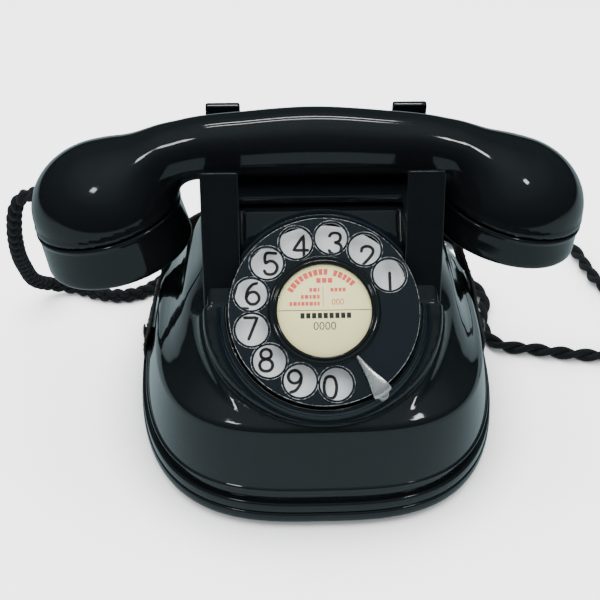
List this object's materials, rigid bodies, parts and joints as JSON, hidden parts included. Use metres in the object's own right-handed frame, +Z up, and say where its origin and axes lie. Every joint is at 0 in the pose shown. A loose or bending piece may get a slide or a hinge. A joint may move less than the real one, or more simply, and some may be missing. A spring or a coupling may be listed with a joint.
{
  "type": "rotary desk telephone",
  "caption": "Black metal desk telephone with a finger dial in a round drum, four-prong fork cradle, resting handset, leather carrying strap and braided cords.",
  "frame": {"origin": "centre of the telephone's footprint on the table, level with the undersides of the rubber feet", "axes": "+X to the right of a person facing the dial, -Y towards that person, +Z up"},
  "size_m": [0.3261, 0.2367, 0.1517],
  "materials": {
    "black_enamel": "gloss enamel over steel",
    "bakelite": "polished black phenolic",
    "steel": "zinc plated",
    "spring_steel": "blued",
    "chrome": "polished",
    "brass": "satin",
    "nickel_leaf": "nickel silver",
    "bell_steel": "nickel plated",
    "winding": "taped coil winding",
    "phenolic": "brown phenolic",
    "can": "drawn can",
    "rubber": "moulded",
    "textile": "braided over",
    "leather": "dark harness leather",
    "ring_white": "stove enamel",
    "paper": "printed card",
    "clear": "clear disc"
  },
  "bodies": {
    "housing": {"case": "black_enamel", "base_plate": "black_enamel", "base_screws": "steel", "rubber_feet": "rubber", "hook_bracket": "steel", "hook_springs": "nickel_leaf", "dial_bezel": "black_enamel", "number_ring": "ring_white", "dial_frame": "brass", "dial_spring": "spring_steel", "impulse_springs": "nickel_leaf", "finger_stop": "chrome", "gong_left": "bell_steel", "gong_right": "bell_steel", "gong_posts": "steel", "ringer_frame": "steel", "ringer_coils": "winding", "capacitor": "can", "induction_coil": "winding", "terminal_block": "phenolic", "terminal_screws": "brass", "strap_studs": "steel", "handset_cord": "textile", "line_cord": "textile", "cord_grommets": "rubber", "line_terminals": "brass"},
    "handset": {"handset_handle": "bakelite", "cord_ferrule": "bakelite", "transmitter_cap": "bakelite", "receiver_cap": "bakelite", "transmitter_capsule": "can", "receiver_capsule": "can"},
    "cradle": {"cradle": "black_enamel"},
    "hook_lever": {"hook_lever": "steel"},
    "dial": {"finger_wheel": "black_enamel", "label_ring": "black_enamel", "label_card": "paper", "label_window": "clear", "dial_shaft": "steel", "main_gear": "brass"},
    "cam": {"cam_pinion": "brass"},
    "governor": {"governor": "brass"},
    "clapper": {"clapper": "brass"},
    "strap": {"carry_strap": "leather"}
  },
  "joints": [
    {"name": "cradle_slide", "type": "slide", "parent": "housing", "child": "cradle", "axis": [0, 0, 1], "range_m": [0, 0.004]},
    {"name": "handset_lift", "type": "slide", "parent": "cradle", "child": "handset", "axis": [0, 0, 1], "range_m": [0, 0.12]},
    {"name": "hook_lever_turn", "type": "hinge", "parent": "housing", "child": "hook_lever", "pos_m": [0, 0.009, 0.081], "axis": [1, 0, 0], "range_deg": [-14, 1]},
    {"name": "dial_turn", "type": "hinge", "parent": "housing", "child": "dial", "pos_m": [0, -0.0668, 0.0929], "axis": [0, -0.6743, 0.7385], "range_deg": [-322, 0]},
    {"name": "cam_turn", "type": "hinge", "parent": "housing", "child": "cam", "pos_m": [-0.0272, -0.06063, 0.07145], "axis": [0, -0.6743, 0.7385], "range_deg": [0, 1615]},
    {"name": "governor_turn", "type": "hinge", "parent": "housing", "child": "governor", "pos_m": [-0.01579, -0.061, 0.0657], "axis": [0, -0.6743, 0.7385], "range_deg": [-4840, 0]},
    {"name": "clapper_swing", "type": "hinge", "parent": "housing", "child": "clapper", "pos_m": [0, 0.023, 0.017], "axis": [0, 0, 1], "range_deg": [-3, 3]},
    {"name": "strap_lift", "type": "slide", "parent": "housing", "child": "strap", "axis": [0, 0, 1], "range_m": [0, 0.006]}
  ],
  "couplings": [
    {"joint": "hook_lever_turn", "follows": "cradle_slide", "rad_per_m": -55},
    {"joint": "cam_turn", "follows": "dial_turn", "ratio": -5},
    {"joint": "governor_turn", "follows": "dial_turn", "ratio": 15}
  ]
}
